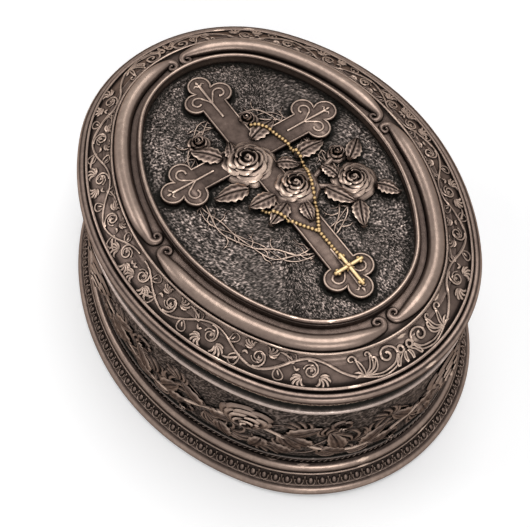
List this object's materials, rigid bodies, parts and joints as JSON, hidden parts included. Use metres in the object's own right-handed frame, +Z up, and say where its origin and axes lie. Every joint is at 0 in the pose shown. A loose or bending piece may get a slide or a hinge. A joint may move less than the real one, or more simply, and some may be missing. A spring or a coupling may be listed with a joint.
{
  "type": "rosary box",
  "caption": "Oval footed keepsake box with a lift-off lid, round mouldings, scroll and rose relief, and a cross with a beaded rosary on the lid.",
  "frame": {"origin": "centre of the oval foot, on the surface that the box stands on", "axes": "+X along the box's length towards the foot of the cross, +Y across the box, +Z up"},
  "size_m": [0.13, 0.106, 0.0598],
  "materials": {
    "bronze": "bronze-filled cast resin, rubbed back to pinkish copper on the raised edges over a dark brown patina",
    "bronze_dark": "the same casting in its near-black patina, stippled, with brighter points",
    "gold_paint": "satin gold paint",
    "felt": "black felt"
  },
  "bodies": {
    "base": {"base_felt": "felt", "base_foot": "bronze", "egg_row": "bronze", "foot_leaf_band": "bronze_dark", "base_wall": "bronze", "frieze_vine": "bronze", "frieze_roses": "bronze", "frieze_leaves": "bronze", "floor_lining": "felt"},
    "lid": {"lid_shell": "bronze", "lid_leaf_band": "bronze_dark", "rim_scrollwork": "bronze", "medallion_panel": "bronze_dark", "medallion_rim": "bronze", "frame_scroll_head_left": "bronze", "frame_scroll_head_right": "bronze", "frame_scroll_foot_left": "bronze", "frame_scroll_foot_right": "bronze", "cross": "bronze", "thorn_wreath": "bronze", "rose_blooms": "bronze", "rose_leaves": "bronze", "rosary_beads": "gold_paint", "rosary_crucifix": "gold_paint"}
  },
  "joints": [
    {"name": "lid_lift", "type": "slide", "parent": "base", "child": "lid", "axis": [0, 0, 1], "range_m": [0, 0.06]}
  ]
}
